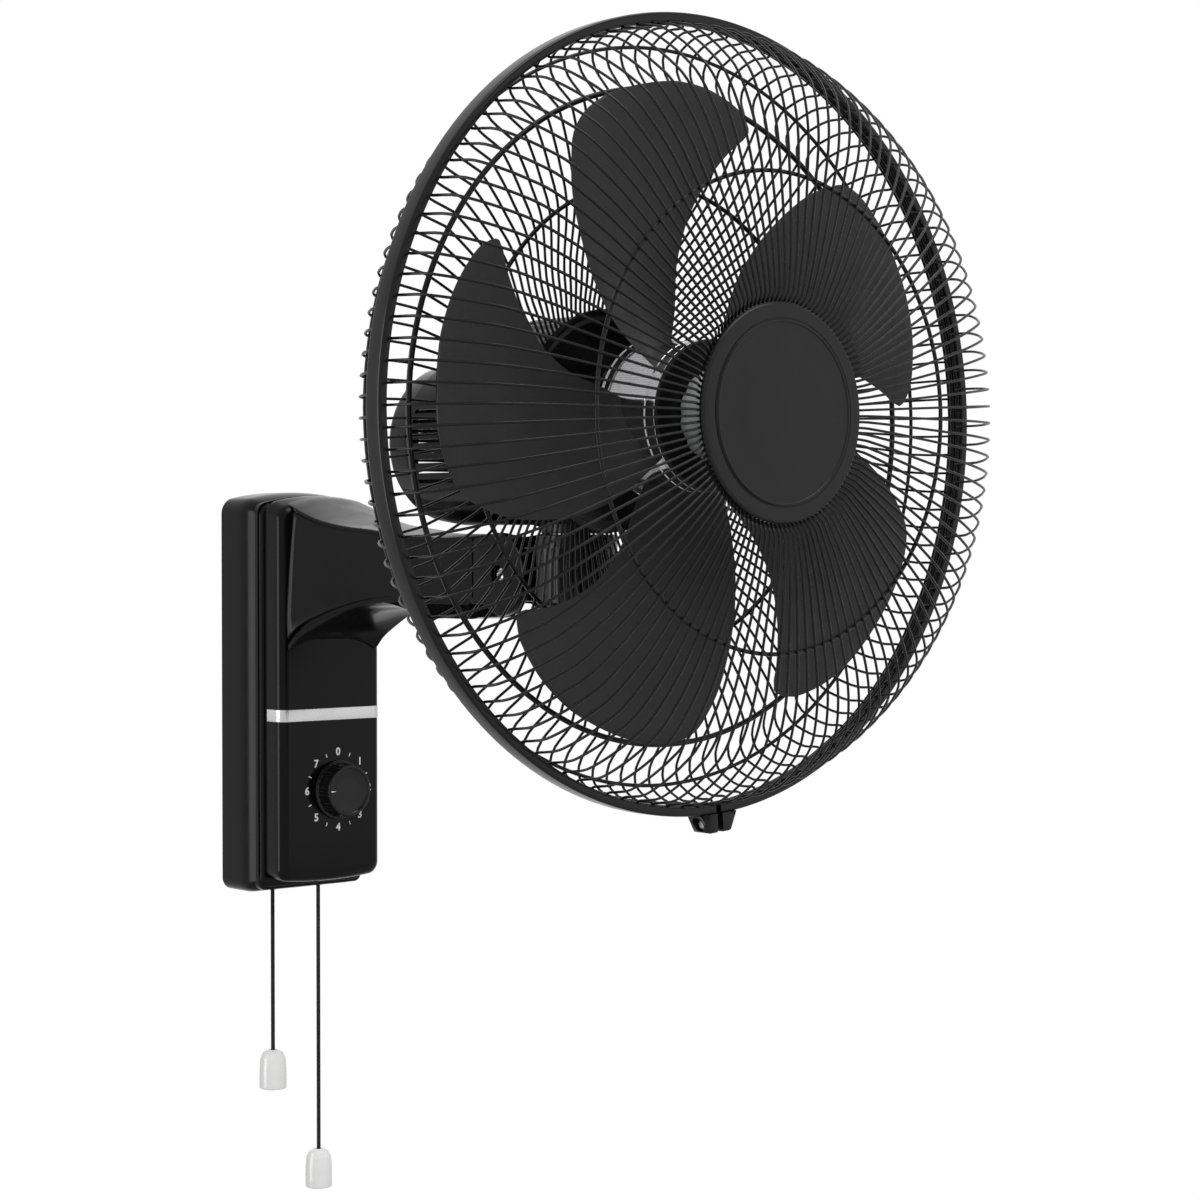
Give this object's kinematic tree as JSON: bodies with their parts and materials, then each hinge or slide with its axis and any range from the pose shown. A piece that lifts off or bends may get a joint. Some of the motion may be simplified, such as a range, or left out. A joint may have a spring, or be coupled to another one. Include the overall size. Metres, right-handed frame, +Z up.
{
  "type": "wall mounted fan",
  "caption": "Oscillating wall fan with a wire guard, five bladed rotor, tilting neck, flared arm and a tall wall box carrying a timer dial and pull cords.",
  "frame": {"origin": "middle of the wall box's back, on the wall", "axes": "+Y into the wall, +Z up, +X to the right as seen from the room; the fan blows towards -Y"},
  "size_m": [0.4496, 0.4864, 0.7313],
  "materials": {
    "gloss_black": "gloss black moulded",
    "satin_black": "satin black",
    "blade_grey": "matte dark grey",
    "wire_black": "semi gloss black paint",
    "bright_trim": "bright silver",
    "zinc": "zinc plated",
    "steel": "bare steel",
    "cast_black": "satin black die casting",
    "copper": "enamelled copper",
    "grey_plastic": "grey moulded",
    "pendant_white": "white moulded",
    "cord_black": "braided black",
    "pale_plastic": "unpainted moulded"
  },
  "bodies": {
    "wall_unit": {"wall_bracket": "zinc", "wall_screw_1": "steel", "wall_screw_2": "steel", "wall_screw_3": "steel", "rear_housing": "gloss_black", "front_cover": "gloss_black", "trim_strip": "bright_trim", "timer_switch": "pale_plastic", "speed_switch": "pale_plastic", "swing_switch": "pale_plastic", "cord_bush_left": "satin_black", "cord_bush_right": "satin_black", "capacitor": "satin_black", "terminal_block": "pale_plastic", "arm_shroud": "gloss_black", "arm_underside": "gloss_black", "arm_core": "steel", "arm_core_screw_1": "zinc", "arm_core_screw_2": "zinc", "tilt_bolt": "zinc", "tilt_nut": "zinc"},
    "timer": {"timer_knob": "gloss_black", "timer_spindle": "steel"},
    "pull_left": {"pull_lever_left": "pale_plastic", "pull_cord_left": "cord_black", "pendant_left": "pendant_white"},
    "pull_right": {"pull_lever_right": "pale_plastic", "pull_cord_right": "cord_black", "pendant_right": "pendant_white"},
    "neck": {"neck_housing": "gloss_black", "neck_cover": "gloss_black", "swing_motor": "zinc"},
    "head": {"swivel_post": "steel", "swivel_nut": "zinc", "motor_housing": "cast_black", "motor_end_shield": "cast_black", "motor_rear_cover": "gloss_black", "stator_core": "steel", "stator_winding": "copper", "front_bearing": "steel", "rear_bearing": "steel", "front_grille": "wire_black", "rear_grille": "wire_black", "guard_hoop": "wire_black", "guard_nut": "satin_black", "hoop_screw": "zinc", "hoop_nut": "zinc", "front_badge": "satin_black"},
    "rotor": {"motor_shaft": "steel", "rotor_core": "steel", "hub_barrel": "bright_trim", "hub_face": "satin_black", "spinner_nut": "grey_plastic", "blade_1": "blade_grey", "blade_2": "blade_grey", "blade_3": "blade_grey", "blade_4": "blade_grey", "blade_5": "blade_grey"}
  },
  "joints": [
    {"name": "tilt", "type": "hinge", "parent": "wall_unit", "child": "neck", "pos_m": [0, -0.263, 0.08], "axis": [1, 0, 0], "range_deg": [-2, 25]},
    {"name": "swing", "type": "hinge", "parent": "neck", "child": "head", "pos_m": [0, -0.311, 0.1], "axis": [0, 0, 1], "range_deg": [-40, 40]},
    {"name": "blade_spin", "type": "hinge", "parent": "head", "child": "rotor", "pos_m": [0, -0.418, 0.17], "axis": [0, 1, 0], "continuous": true},
    {"name": "timer_turn", "type": "hinge", "parent": "wall_unit", "child": "timer", "pos_m": [0.005, -0.064, -0.064], "axis": [0, 1, 0], "range_deg": [0, 315]},
    {"name": "speed_pull", "type": "slide", "parent": "wall_unit", "child": "pull_left", "axis": [0, 0, -1], "range_m": [0, 0.01], "stiffness_N_per_m": 300, "springref_m": -0.003},
    {"name": "swing_pull", "type": "slide", "parent": "wall_unit", "child": "pull_right", "axis": [0, 0, -1], "range_m": [0, 0.01], "stiffness_N_per_m": 300, "springref_m": -0.003}
  ]
}
